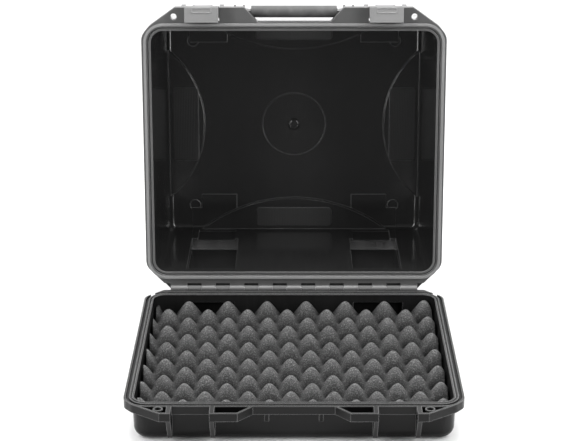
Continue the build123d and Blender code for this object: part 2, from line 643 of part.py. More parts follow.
base_shell.part.label = "base_shell"
export_step(base_shell.part, "parts/base_shell.step")

# ---- hinge pin --------------------------------------------------------------------------------
with BuildPart() as hinge_pin:
    with BuildSketch(BASE_SIDE):
        Circle(PIN_RADIUS)
    extrude(amount=HINGE_OUTER, both=True)
hinge_pin.part.label = "hinge_pin"
export_step(hinge_pin.part, "parts/hinge_pin.step")

# ---- rubber feet on the base's outer floor ----------------------------------------------------
for place, point in FOOT_POINTS.items():
    with BuildPart() as base_foot:
        with BuildSketch(BASE.offset(BASE_DEPTH)):
            with Locations(point):
                Circle(FOOT_RADIUS)
        extrude(amount=FOOT_HEIGHT, taper=FOOT_DRAFT)
    base_foot.part.label = f"base_foot_{place}"
    export_step(base_foot.part, f"parts/base_foot_{place}.step")

# ---- pressure vent through the middle of the base's floor -------------------------------------
with BuildPart(BASE) as vent_plug:
    with Locations((0, CAVITY_MID, BASE_FLOOR_N - VENT_DOME_HEIGHT / 2)):
        Cylinder(VENT_DOME, VENT_DOME_HEIGHT)
    fillet(vent_plug.edges().group_by(DEPTH_AXIS)[0], VENT_DOME_HEIGHT - VENT_DOME_FLAT)
    with Locations((0, CAVITY_MID, BASE_FLOOR_N + (BASE_FLOOR + VENT_SEAL_HEIGHT) / 2)):
        Cylinder(VENT_SHANK, BASE_FLOOR + VENT_SEAL_HEIGHT)
    with Locations((0, CAVITY_MID, BASE_DEPTH + VENT_SEAL_HEIGHT + VENT_FLANGE_HEIGHT / 2)):
        Cylinder(VENT_FLANGE, VENT_FLANGE_HEIGHT)
vent_plug.part.label = "vent_plug"
export_step(vent_plug.part, "parts/vent_plug.step")

with BuildPart() as vent_seal:
    with BuildSketch(BASE.offset(BASE_DEPTH)):
        with Locations((0, CAVITY_MID)):
            Circle(VENT_SEAL)
            Circle(VENT_SHANK + VENT_FIT, mode=Mode.SUBTRACT)
    extrude(amount=VENT_SEAL_HEIGHT)
vent_seal.part.label = "vent_seal"
export_step(vent_seal.part, "parts/vent_seal.step")

# ---- latches ----------------------------------------------------------------------------------
HOOK_TOP = -(LATCH_PIVOT_N + FLANGE_DEPTH + LATCH_HOOK_GAP)
HALF_LATCH = LATCH_WIDTH / 2
RELEASE_HALF = RELEASE_WIDTH / 2

for side, latch_x in (("left", LATCH_X), ("right", -LATCH_X)):
    pivot = BASE.from_local_coords(Vector(latch_x, LATCH_S, LATCH_PIVOT_N))
    latch = leaning_plane(pivot, LEAN + LATCH_REST_ANGLE)
    latch_side = side_of(latch)
    tip = Plane(origin=latch.from_local_coords(Vector(0, 0, -LATCH_REACH)),
                x_dir=latch.x_dir, z_dir=-latch.z_dir)

    with BuildPart() as latch_frame:
        # outer plate and the hook at its tip, then the cheeks and the pivot barrel
        plate_profile = [
            (LATCH_OUTER - LATCH_PLATE, 0),
            (LATCH_OUTER, 0),
            (LATCH_OUTER, -LATCH_REACH),
            (-LATCH_HOOK, -LATCH_REACH),
            (-LATCH_HOOK, HOOK_TOP),
            (LATCH_OUTER - LATCH_PLATE, HOOK_TOP),
        ]
        with BuildSketch(latch_side.offset(-HALF_LATCH)) as plate_sketch:
            Polygon(*plate_profile, align=None)
            tip_corner = plate_sketch.vertices().sort_by(Axis.Y)[:2].sort_by(Axis.X)[-1]
            fillet(tip_corner, LATCH_PLATE)
        extrude(amount=LATCH_WIDTH)
        cheek_profile = [
            (LATCH_OUTER - CHEEK_ROOT, 0),
            (-LATCH_CHEEK_IN, -LATCH_BARREL),
            (-LATCH_CHEEK_IN, HOOK_TOP - CHEEK_FOOT),
            (LATCH_OUTER - CHEEK_ROOT, HOOK_TOP - CHEEK_FOOT),
        ]
        for start in (-HALF_LATCH, HALF_LATCH - LATCH_CHEEK):
            with BuildSketch(latch_side.offset(start)):
                Polygon(*cheek_profile, align=None)
            extrude(amount=LATCH_CHEEK)
        with BuildSketch(latch_side.offset(-HALF_LATCH)):
            Circle(LATCH_BARREL)
        extrude(amount=LATCH_WIDTH)
        # ears for the release lever's pin
        for start in (-RELEASE_HALF - RELEASE_SIDE - RELEASE_EAR, RELEASE_HALF + RELEASE_SIDE):
            with BuildSketch(latch_side.offset(start)):
                with Locations((RELEASE_U, RELEASE_V)):
                    Circle(RELEASE_BARREL)
                Polygon((0, RELEASE_V - RELEASE_BARREL - RELEASE_EAR_FOOT),
                        (RELEASE_U, RELEASE_V - RELEASE_BARREL),
                        (RELEASE_U, RELEASE_V + RELEASE_BARREL),
                        (0, RELEASE_V + RELEASE_BARREL), align=None)
            extrude(amount=RELEASE_EAR)
        # recess that lets the lever's barrel turn
        with BuildSketch(latch_side.offset(-RELEASE_HALF - RELEASE_SIDE)):
            with Locations((RELEASE_U, RELEASE_V)):
                Circle(RELEASE_BARREL + RELEASE_SIDE)
        extrude(amount=RELEASE_WIDTH + 2 * RELEASE_SIDE, mode=Mode.SUBTRACT)
        with BuildSketch(tip):
            RectangleRounded(PAD_WIDTH, PAD_HEIGHT, PAD_CORNER)
            RectangleRounded(PAD_WIDTH - 2 * PAD_LINE, PAD_HEIGHT - 2 * PAD_LINE, PAD_CORNER / 2,
                             mode=Mode.SUBTRACT)
        extrude(amount=PAD_RISE)
        with BuildSketch(latch_side):
            Circle(LATCH_PIN_RADIUS + PIN_RUNNING)
            with Locations((RELEASE_U, RELEASE_V)):
                Circle(RELEASE_PIN_RADIUS + PIN_TIGHT)
        extrude(amount=HALF_LATCH, both=True, mode=Mode.SUBTRACT)
    latch_frame.part.label = f"latch_frame_{side}"
    export_step(latch_frame.part, f"parts/latch_frame_{side}.step")

    with BuildPart() as latch_release:
        with BuildSketch(latch_side.offset(-RELEASE_HALF)):
            with Locations((RELEASE_U, RELEASE_V)):
                Circle(RELEASE_BARREL)
            Polygon((RELEASE_U + RELEASE_BARREL, RELEASE_V),
                    (RELEASE_U + RELEASE_BARREL - RELEASE_TAPER, RELEASE_TAB),
                    (RELEASE_U + RELEASE_BARREL - RELEASE_TAPER - RELEASE_THICK, RELEASE_TAB),
                    (RELEASE_U + RELEASE_BARREL - RELEASE_THICK, RELEASE_V), align=None)
            with Locations((RELEASE_U, RELEASE_V)):
                Circle(RELEASE_PIN_RADIUS + PIN_RUNNING, mode=Mode.SUBTRACT)
        extrude(amount=RELEASE_WIDTH)
    latch_release.part.label = f"latch_release_{side}"
    export_step(latch_release.part, f"parts/latch_release_{side}.step")

    with BuildPart() as release_pin:
        with BuildSketch(latch_side):
            with Locations((RELEASE_U, RELEASE_V)):
                Circle(RELEASE_PIN_RADIUS)
        extrude(amount=RELEASE_HALF + RELEASE_SIDE + RELEASE_EAR, both=True)
    release_pin.part.label = f"release_pin_{side}"
    export_step(release_pin.part, f"parts/release_pin_{side}.step")

    with BuildPart() as latch_pin:
        with BuildSketch(latch_side):
            Circle(LATCH_PIN_RADIUS)
        extrude(amount=SEAT_WIDTH / 2 + SEAT_RIB, both=True)
    latch_pin.part.label = f"latch_pin_{side}"
    export_step(latch_pin.part, f"parts/latch_pin_{side}.step")

# ---- handle -----------------------------------------------------------------------------------
GRIP_CENTRE_S = CAVITY_FRONT + GRIP_S
HANDLE_PIVOT_S = GRIP_CENTRE_S - PIVOT_BACK
HALF_ARM = HANDLE_ARM / 2
LUG_START = HALF_ARM + LUG_SIDE
PLATE_BACK = CAVITY_FRONT + BASE_WALL
ARM_PLANE = Plane(origin=BASE.from_local_coords(Vector(0, HANDLE_PIVOT_S - HALF_ARM, 0)),
                  x_dir=BASE.x_dir, z_dir=BASE.y_dir)

with BuildPart() as handle_frame:
    arm_outline = [
        (HANDLE_PIVOT_X - HALF_ARM, HANDLE_PIVOT_N + HANDLE_END - ARM_END_FLAT),
        (HANDLE_PIVOT_X + HALF_ARM, HANDLE_PIVOT_N + HANDLE_END - ARM_END_FLAT),
        (HANDLE_PIVOT_X + HALF_ARM, HANDLE_PIVOT_N - ARM_OUTER_BEND),
        (GRIP_HALF + HANDLE_ARM, GRIP_N + ARM_LOWER_BEND),
        (GRIP_HALF + HANDLE_ARM, GRIP_N - GRIP_RADIUS),
        (GRIP_HALF, GRIP_N - GRIP_RADIUS),
        (GRIP_HALF, GRIP_N + GRIP_RADIUS + ARM_STEP),
        (HANDLE_PIVOT_X - HALF_ARM, HANDLE_PIVOT_N - ARM_INNER_BEND),
    ]
    with BuildSketch(ARM_PLANE):
        Polygon(*[(x, -n) for x, n in arm_outline], align=None)
        Polygon(*[(-x, -n) for x, n in arm_outline], align=None)
    extrude(amount=HANDLE_ARM)
    with BuildSketch(BASE_SIDE):
        with Locations((GRIP_CENTRE_S, GRIP_N)):
            Circle(GRIP_CORE)
    extrude(amount=GRIP_HALF + ARM_STEP, both=True)
    with BuildSketch(BASE_SIDE):
        with Locations((HANDLE_PIVOT_S, HANDLE_PIVOT_N)):
            Circle(HANDLE_PIN_RADIUS + PIN_RUNNING)
    extrude(amount=HALF_WIDTH, both=True, mode=Mode.SUBTRACT)
handle_frame.part.label = "handle_frame"
export_step(handle_frame.part, "parts/handle_frame.step")

with BuildPart() as handle_grip:
    with BuildSketch(BASE_SIDE):
        with Locations((GRIP_CENTRE_S, GRIP_N)):
            Circle(GRIP_RADIUS)
            Circle(GRIP_CORE + GRIP_FIT, mode=Mode.SUBTRACT)
    extrude(amount=GRIP_HALF - GRIP_FIT, both=True)
handle_grip.part.label = "handle_grip"
export_step(handle_grip.part, "parts/handle_grip.step")

for side, bracket_x in (("left", HANDLE_PIVOT_X), ("right", -HANDLE_PIVOT_X)):
    low_n = HANDLE_PIVOT_N - BRACKET_HALF_HEIGHT
    high_n = HANDLE_PIVOT_N + BRACKET_HALF_HEIGHT
    lug_front = HANDLE_PIVOT_S + HANDLE_END
    plate_profile = [
        (PLATE_BACK + WALL_GAP - drift(low_n - RIM_GAP), low_n),
        (PLATE_BACK + BRACKET_PLATE, low_n),
        (PLATE_BACK + BRACKET_PLATE, high_n),
        (PLATE_BACK + WALL_GAP - drift(high_n - RIM_GAP), high_n),
    ]
    lug_profile = [
        (PLATE_BACK + BRACKET_PLATE - LUG_ROOT, low_n + LUG_INSET),
        (HANDLE_PIVOT_S, HANDLE_PIVOT_N - HANDLE_END),
        (lug_front, HANDLE_PIVOT_N - HANDLE_END / 2),
        (lug_front, HANDLE_PIVOT_N + HANDLE_END / 2),
        (HANDLE_PIVOT_S, HANDLE_PIVOT_N + HANDLE_END),
        (PLATE_BACK + BRACKET_PLATE - LUG_ROOT, high_n - LUG_INSET),
    ]
    half_plate = LUG_START + LUG_THICK
    with BuildPart() as handle_bracket:
        with BuildSketch(BASE_SIDE.offset(bracket_x - half_plate)):
            Polygon(*plate_profile, align=None)
        extrude(amount=2 * half_plate)
        for start in (bracket_x - half_plate, bracket_x + LUG_START):
            with BuildSketch(BASE_SIDE.offset(start)):
                Polygon(*lug_profile, align=None)
            extrude(amount=LUG_THICK)
        with BuildSketch(BASE_SIDE.offset(bracket_x)):
            with Locations((HANDLE_PIVOT_S, HANDLE_PIVOT_N)):
                Circle(HANDLE_PIN_RADIUS + PIN_TIGHT)
        extrude(amount=half_plate, both=True, mode=Mode.SUBTRACT)
        with BuildSketch(front_wall_plane.offset(-BASE_WALL)):
            with Locations(*[(x, -n) for x, n in SCREW_POINTS]):
                Circle(SCREW_RADIUS + SCREW_FIT)
        extrude(amount=EAR_REACH, mode=Mode.SUBTRACT)
    handle_bracket.part.label = f"handle_bracket_{side}"
    export_step(handle_bracket.part, f"parts/handle_bracket_{side}.step")

with BuildPart() as handle_pins:
    for bracket_x in both_sides(HANDLE_PIVOT_X):
        with BuildSketch(BASE_SIDE.offset(bracket_x)):
            with Locations((HANDLE_PIVOT_S, HANDLE_PIVOT_N)):
                Circle(HANDLE_PIN_RADIUS)
        extrude(amount=LUG_START + LUG_THICK, both=True)
handle_pins.part.label = "handle_pins"
export_step(handle_pins.part, "parts/handle_pins.step")

with BuildPart() as handle_screws:
    with BuildSketch(front_wall_plane.offset(BASE_WALL + BRACKET_PLATE)):
        with Locations(*[(x, -n) for x, n in SCREW_POINTS]):
            Circle(SCREW_HEAD)
    extrude(amount=SCREW_HEAD_HEIGHT, taper=SCREW_HEAD_DRAFT)
    with BuildSketch(front_wall_plane.offset(BASE_WALL + BRACKET_PLATE)):
        with Locations(*[(x, -n) for x, n in SCREW_POINTS]):
            Circle(SCREW_RADIUS)
    extrude(amount=-2 * BASE_WALL - BRACKET_PLATE)
handle_screws.part.label = "handle_screws"
export_step(handle_screws.part, "parts/handle_screws.step")
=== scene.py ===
import json
import math

import bmesh
import bpy
import numpy as np
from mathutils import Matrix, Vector


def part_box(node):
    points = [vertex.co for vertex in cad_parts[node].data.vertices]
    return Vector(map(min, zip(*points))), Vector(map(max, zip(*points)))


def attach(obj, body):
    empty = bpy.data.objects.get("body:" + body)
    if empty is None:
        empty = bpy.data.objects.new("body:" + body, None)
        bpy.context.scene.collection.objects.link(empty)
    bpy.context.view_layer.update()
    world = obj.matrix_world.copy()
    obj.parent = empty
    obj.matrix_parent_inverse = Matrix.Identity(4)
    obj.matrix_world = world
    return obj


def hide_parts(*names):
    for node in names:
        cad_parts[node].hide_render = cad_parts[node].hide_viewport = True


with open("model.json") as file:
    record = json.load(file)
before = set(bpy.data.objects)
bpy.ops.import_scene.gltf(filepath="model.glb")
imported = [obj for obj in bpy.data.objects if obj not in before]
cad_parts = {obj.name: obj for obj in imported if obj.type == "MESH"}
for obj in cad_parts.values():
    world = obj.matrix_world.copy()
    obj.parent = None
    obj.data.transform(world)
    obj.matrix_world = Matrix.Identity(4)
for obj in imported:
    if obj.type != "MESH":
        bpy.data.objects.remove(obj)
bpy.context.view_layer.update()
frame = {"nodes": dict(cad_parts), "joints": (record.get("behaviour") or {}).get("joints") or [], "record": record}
nodes = frame["nodes"]
hinge = Vector(next(j["pos_m"] for j in frame["joints"] if j["name"] == "case_hinge"))

MM = 0.001
LEAN = math.radians(5)
# each shell's own axes: across, from the hinge to the front edge, from the parting plane inward
LID_AXES = (Vector((1, 0, 0)), Vector((0, -1, 0)), Vector((0, 0, -1)))
BASE_AXES = (Vector((1, 0, 0)), Vector((0, math.sin(LEAN), math.cos(LEAN))),
             Vector((0, math.cos(LEAN), -math.sin(LEAN))))
CAVITY_HALF = 206.6 * MM
CAVITY_REAR = 25.1 * MM
CAVITY_FRONT = 386.2 * MM
CAVITY_MID = (CAVITY_REAR + CAVITY_FRONT) / 2
GRAIN = 900.0            # scale of the spark-eroded grain
KNUCKLE_HIGHLIGHT_SHARE = 0.62     # how much of the sealing tongue's painted highlight the hinge knuckles take


# ---- node tree helpers ------------------------------------------------------------------------
class Tree:
    """A material's node tree with short ways to add and link nodes."""

    def __init__(self, name):
        self.material = bpy.data.materials.new(name)
        self.material.use_nodes = True
        self.nodes = self.material.node_tree.nodes
        self.links = self.material.node_tree.links
        self.shader = self.nodes["Principled BSDF"]
        self.place = self.add("ShaderNodeTexCoord").outputs["Object"]

    def add(self, kind, **settings):
        node = self.nodes.new(kind)
        for key, value in settings.items():
            setattr(node, key, value)
        return node

    def link(self, source, target):
        self.links.new(source, target)

    def feed(self, socket, value):
        """Links an output to a socket, or sets the socket's own value."""
        if isinstance(value, bpy.types.NodeSocket):
            self.link(value, socket)
        else:
            socket.default_value = value

    def stretched(self, scale):
        """The object's own coordinates, scaled apart along each axis."""
        mapping = self.add("ShaderNodeMapping")
        self.link(self.place, mapping.inputs["Vector"])
        mapping.inputs["Scale"].default_value = scale
        return mapping.outputs["Vector"]

    def noise(self, scale, detail=3.0, roughness=0.5, place=None):
        node = self.add("ShaderNodeTexNoise")
        self.link(place or self.place, node.inputs["Vector"])
        node.inputs["Scale"].default_value = scale
        node.inputs["Detail"].default_value = detail
        node.inputs["Roughness"].default_value = roughness
        return node.outputs["Fac"]

    def voronoi(self, scale):
        node = self.add("ShaderNodeTexVoronoi")
        self.link(self.place, node.inputs["Vector"])
        node.inputs["Scale"].default_value = scale
        return node.outputs["Distance"]

    def ramp(self, value, stops):
        """Maps 0 to 1 onto (place, grey) or (place, colour) stops."""
        node = self.add("ShaderNodeValToRGB")
        self.feed(node.inputs["Fac"], value)
        elements = node.color_ramp.elements
        while len(elements) < len(stops):
            elements.new(0.5)
        for element, (place, colour) in zip(elements, stops):
            element.position = place
            element.color = colour if isinstance(colour, tuple) else (colour, colour, colour, 1)
        return node.outputs["Color"]

    def math(self, operation, a, b=0.0):
        node = self.add("ShaderNodeMath", operation=operation)
        self.feed(node.inputs[0], a)
        self.feed(node.inputs[1], b)
        return node.outputs["Value"]

    def mix(self, share, a, b, blend="MIX"):
        node = self.add("ShaderNodeMixRGB", blend_type=blend)
        self.feed(node.inputs["Fac"], share)
        self.feed(node.inputs["Color1"], a)
        self.feed(node.inputs["Color2"], b)
        return node.outputs["Color"]

    def along(self, node, axis):
        """Distance from the hinge point along a world axis, on a node at rest."""
        place = node.matrix_world
        dot = self.add("ShaderNodeVectorMath", operation="DOT_PRODUCT")
        self.link(self.place, dot.inputs[0])
        dot.inputs[1].default_value = place.to_3x3().transposed() @ axis
        return self.math("ADD", dot.outputs["Value"], axis.dot(place.translation - hinge))

    def within(self, value, low, high, soft=0.0006):
        """One between two distances and nothing outside them, with soft ends."""
        share = []
        for start, end in ((low - soft, low + soft), (high + soft, high - soft)):
            node = self.add("ShaderNodeMapRange")
            self.feed(node.inputs["Value"], value)
            node.inputs["From Min"].default_value = start
            node.inputs["From Max"].default_value = end
            share.append(node.outputs["Result"])
        return self.math("MULTIPLY", *share)

    def bump(self, height, distance, strength=1.0, normal=None):
        node = self.add("ShaderNodeBump")
        self.feed(node.inputs["Height"], height)
        node.inputs["Distance"].default_value = distance
        node.inputs["Strength"].default_value = strength
        if normal:
            self.link(normal, node.inputs["Normal"])
        return node.outputs["Normal"]

    def finish(self, colour, roughness, normal=None, **constants):
        self.feed(self.shader.inputs["Base Color"], colour)
        self.feed(self.shader.inputs["Roughness"], roughness)
        if normal:
            self.link(normal, self.shader.inputs["Normal"])
        for name, value in constants.items():
            self.shader.inputs[name.replace("_", " ")].default_value = value
        return self.material


def grey(value):
    return (value, value, value, 1)


def edge_wear_and_highlight(tree, radius=1.2 * MM):
    """Bright on edges and corners, dark elsewhere: partly where handling rubs moulded plastic, partly a painted
    highlight along the edges.
    """
    bevel = tree.add("ShaderNodeBevel", samples=4)
    bevel.inputs["Radius"].default_value = radius
    geometry = tree.add("ShaderNodeNewGeometry")
    dot = tree.add("ShaderNodeVectorMath", operation="DOT_PRODUCT")
    tree.link(bevel.outputs["Normal"], dot.inputs[0])
    tree.link(geometry.outputs["Normal"], dot.inputs[1])
    turned = tree.math("SUBTRACT", 1.0, dot.outputs["Value"])
    return tree.ramp(turned, [(0.0, 0.0), (0.12, 1.0)]), bevel.outputs["Normal"]


def moulded_plastic(name, base, rough, wear_and_highlight=0.5, coat=0.0):
    """Spark-eroded moulded plastic: fine grain, faint flow marks, softened edges, paled by rubbing and by a
    painted highlight.
    """
    tree = Tree(name)
    worn_and_highlit, soft_normal = edge_wear_and_highlight(tree)
    flow = tree.noise(9.0, 4.0, 0.55, tree.stretched((1.0, 3.5, 3.5)))
    blotch = tree.ramp(flow, [(0.3, 0.86), (0.7, 1.1)])
    colour = tree.mix(1.0, grey(base), blotch, "MULTIPLY")
    rubbed_and_highlit = tree.math("MULTIPLY", worn_and_highlit, wear_and_highlight)
    # pale edges: rubbed wear, and a painted highlight along the edges
    colour = tree.mix(rubbed_and_highlit, colour, grey(min(1.0, base * 2.4 + 0.02)))
    fine = tree.noise(GRAIN, 2.0, 0.6)
    smudge = tree.noise(22.0, 3.0, 0.6)
    roughness = tree.math("MULTIPLY_ADD", tree.ramp(smudge, [(0.35, 0.0), (0.7, 1.0)]), 0.1)
    roughness.node.inputs[2].default_value = rough
    normal = tree.bump(fine, 0.04 * MM, 0.6, soft_normal)
    return tree.finish(colour, roughness, normal, Coat_Weight=coat, Coat_Roughness=0.12)


def shell_plastic(name, node, axes, inside, outside, rim):
    """Case shell: polished inside, satin outside, with a grained face on the rim flange whose paler tint is
    painted light.
    """
    tree = Tree(name)
    x, s, n = (tree.along(node, axis) for axis in axes)
    worn_and_highlit, soft_normal = edge_wear_and_highlight(tree, 1.4 * MM)
    past_wall = 1.0 * MM
    past_rear = 9.5 * MM
    in_x = tree.within(x, -CAVITY_HALF - past_wall, CAVITY_HALF + past_wall)
    in_s = tree.within(s, CAVITY_REAR - past_rear, CAVITY_FRONT + past_wall)
    deep = tree.within(n, 1.5 * MM, 1.0)
    cavity = tree.math("MULTIPLY", tree.math("MULTIPLY", in_x, in_s), deep)
    face = tree.within(n, -4 * MM, 1.6 * MM, 0.3 * MM)
    # what stands above the parting plane: the sealing tongue, and the knuckles at the hinge, both paled as a
    # painted highlight, the knuckles by a smaller share
    level = tree.within(n, -6 * MM, -0.6 * MM, 0.3 * MM)
    past_knuckles = tree.within(s, 11 * MM, 410 * MM)
    highlight_strength = tree.math("ADD", tree.math("MULTIPLY", past_knuckles, 1 - KNUCKLE_HIGHLIGHT_SHARE), KNUCKLE_HIGHLIGHT_SHARE)
    raised_highlight = tree.math("MULTIPLY", level, highlight_strength)
    streaks = tree.noise(60.0, 4.0, 0.6, tree.stretched((3.0, 0.16, 0.16)))
    flow = tree.noise(7.0, 4.0, 0.55)
    shade = tree.mix(cavity, grey(outside[0]), grey(inside[0]))
    # painted light: the rim flange's face paler than the rest of the shell
    shade = tree.mix(face, shade, grey(rim[0]))
    # painted highlight: the sealing tongue and the hinge knuckles paled
    shade = tree.mix(raised_highlight, shade, grey(0.2))
    shade = tree.mix(1.0, shade, tree.ramp(flow, [(0.3, 0.8), (0.7, 1.12)]), "MULTIPLY")
    # painted sheen: streaks lighten and darken the cavity's colour; the same streaks in the roughness belong to
    # the finish
    sheen_streak_share = tree.math("MULTIPLY", cavity, 0.8)
    painted_sheen_streaked = tree.mix(1.0, shade, tree.ramp(streaks, [(0.35, 0.9), (0.7, 1.12)]), "MULTIPLY")
    shade = tree.mix(sheen_streak_share, shade, painted_sheen_streaked)
    rubbed_and_highlit = tree.math("MULTIPLY", worn_and_highlit, tree.mix(cavity, grey(0.8), grey(0.55)))
    # pale edges: rubbed wear, and a painted highlight along the edges
    shade = tree.mix(rubbed_and_highlit, shade, grey(0.24))
    gloss = tree.mix(cavity, grey(outside[1]), grey(inside[1]))
    gloss = tree.mix(face, gloss, grey(rim[1]))
    gloss = tree.math("MULTIPLY", gloss, tree.ramp(streaks, [(0.3, 0.85), (0.7, 1.2)]))
    fine = tree.noise(GRAIN, 2.0, 0.6)
    grain = tree.math("MULTIPLY", fine, tree.mix(cavity, grey(1.0), grey(0.25)))
    normal = tree.bump(grain, 0.05 * MM, 0.7, soft_normal)
    return tree, (x, s, n), shade, gloss, normal


def base_floor_plates(tree, place, shade, gloss, normal):
    """Fine moulded ribbing on the plates of the base's floor, with painted light on the rib crests and painted
    shade in the troughs.
    """
    x, s, n = place
    end_half, end_near, end_far = 59.0 * MM, 136.2 * MM, 165.2 * MM
    side_half, side_near, side_far = 57.0 * MM, 151.6 * MM, 191.0 * MM
    rib_pitch = 2.6 * MM
    low = tree.within(n, 205 * MM, 213.5 * MM)
    end_s = tree.within(tree.math("ABSOLUTE", tree.math("SUBTRACT", s, CAVITY_MID)), end_near, end_far)
    end = tree.math("MULTIPLY", tree.within(x, -end_half, end_half), end_s)
    side_x = tree.within(tree.math("ABSOLUTE", x), side_near, side_far)
    side_s = tree.within(s, CAVITY_MID - side_half, CAVITY_MID + side_half)
    side = tree.math("MULTIPLY", side_x, side_s)
    plates = tree.math("MULTIPLY", tree.math("MAXIMUM", end, side), low)
    ribs = tree.math("SINE", tree.math("MULTIPLY", x, 2 * math.pi / rib_pitch))
    ribs = tree.math("MULTIPLY", ribs, plates)
    shade = tree.mix(plates, shade, grey(0.022))
    # painted light on the rib crests and painted shade in the troughs
    painted_rib_light_and_shade = tree.ramp(ribs, [(0.0, 0.012), (1.0, 0.035)])
    shade = tree.mix(tree.math("MULTIPLY", plates, 0.35), shade, painted_rib_light_and_shade)
    gloss = tree.mix(plates, gloss, grey(0.34))
    return shade, gloss, tree.bump(ribs, 0.15 * MM, 0.6, normal)


def foam_material():
    """Open-cell polyurethane foam: painted shade in the cells between paler struts, painted shade deepening down
    between the cones, and painted glints on the grains that fade with it.
    """
    valley_level, tip_level = -31 * MM, -4 * MM
    tree = Tree("open_cell_foam")
    cells = tree.voronoi(950.0)
    pores = tree.ramp(cells, [(0.15, 1.0), (0.5, 0.0)])
    grains = tree.noise(560.0, 3.0, 0.8)
    speck = tree.ramp(grains, [(0.5, 0.0), (0.64, 1.0)])
    shade = tree.noise(26.0, 3.0, 0.5)
    high = tree.along(nodes["lid_foam"], Vector((0, 0, 1)))
    # painted shade: darker with depth down between the cones, full tone at the tips
    painted_shade_by_height = tree.add("ShaderNodeMapRange")
    tree.feed(painted_shade_by_height.inputs["Value"], high)
    painted_shade_by_height.inputs["From Min"].default_value = valley_level
    painted_shade_by_height.inputs["From Max"].default_value = tip_level
    painted_shade_by_height.inputs["To Min"].default_value = 0.02
    body = tree.mix(tree.ramp(shade, [(0.35, 0.0), (0.7, 1.0)]), grey(0.105), grey(0.135))
    body = tree.mix(1.0, body, painted_shade_by_height.outputs["Result"], "MULTIPLY")
    # painted shade in the foam's open cells
    colour = tree.mix(tree.math("MULTIPLY", pores, 0.8), body, grey(0.008))
    # painted glints on the grains, fading with the painted shade between the cones
    glints = tree.math("MULTIPLY", speck, tree.math("MULTIPLY", painted_shade_by_height.outputs["Result"], 0.7))
    colour = tree.mix(glints, colour, grey(0.34))
    height = tree.math("SUBTRACT", grains, tree.math("MULTIPLY", pores, 0.8))
    normal = tree.bump(height, 0.7 * MM, 0.9)
    return tree.finish(colour, 0.96, normal, Specular_IOR_Level=0.15)


def rubber_material(name, base, rough=0.62):
    """Moulded rubber: fine grain under a little pale dust."""
    tree = Tree(name)
    fine = tree.noise(700.0, 3.0, 0.6)
    dust = tree.noise(60.0, 4.0, 0.6)
    colour = tree.mix(tree.ramp(dust, [(0.45, 0.0), (0.75, 0.35)]), grey(base), grey(base * 2.2 + 0.02))
    roughness = tree.ramp(dust, [(0.3, rough), (0.7, min(1.0, rough + 0.15))])
    return tree.finish(colour, roughness, tree.bump(fine, 0.06 * MM, 0.7), Specular_IOR_Level=0.4)


def steel_material():
    """Drawn steel, its fine lines running across the case as the pins do."""
    tree = Tree("drawn_steel")
    lines = tree.noise(240.0, 3.0, 0.6, tree.stretched((0.15, 6.0, 6.0)))
    colour = tree.ramp(lines, [(0.3, 0.42), (0.7, 0.68)])
    roughness = tree.ramp(lines, [(0.3, 0.22), (0.7, 0.4)])
    return tree.finish(colour, roughness, tree.bump(lines, 0.03 * MM, 0.5), Metallic=1.0)


# ---- materials of the CAD nodes ---------------------------------------------------------------
# a shell's looks are (shade, roughness) for its inside, its outside and its rim; the rim's paler shade is painted
# light
lid_tree, _, *lid_look = shell_plastic(
    "lid_shell_black", nodes["lid_shell"], LID_AXES, (0.010, 0.22), (0.006, 0.18), (0.030, 0.4))
base_tree, base_place, *base_look = shell_plastic(
    "base_shell_black", nodes["base_shell"], BASE_AXES, (0.018, 0.16), (0.012, 0.42), (0.070, 0.42))
base_look = base_floor_plates(base_tree, base_place, *base_look)
materials = {
    "shell_plastic": lid_tree.finish(*lid_look, Specular_IOR_Level=0.15),
    "base_plastic": base_tree.finish(*base_look, Specular_IOR_Level=0.9),
    "latch_plastic": moulded_plastic("latch_plastic_grey", 0.19, 0.42, wear_and_highlight=0.3),
    "release_plastic": moulded_plastic("release_plastic_pale", 0.3, 0.4),
    "handle_plastic": moulded_plastic("handle_plastic_satin", 0.03, 0.38),
    "vent_plastic": moulded_plastic("vent_plastic_gloss", 0.02, 0.12, wear_and_highlight=0.2, coat=0.6),
    "grip_rubber": rubber_material("grip_rubber_grey", 0.08, 0.5),
    "foot_rubber": rubber_material("foot_rubber_black", 0.016),
    "seal_rubber": rubber_material("seal_rubber_black", 0.012, 0.7),
    "foam": foam_material(),
    "steel": steel_material(),
}
for entry in frame["record"]["subparts"]:
    mesh = nodes[entry["node"]].data
    mesh.materials.clear()
    mesh.materials.append(materials[entry["material_slot"]])


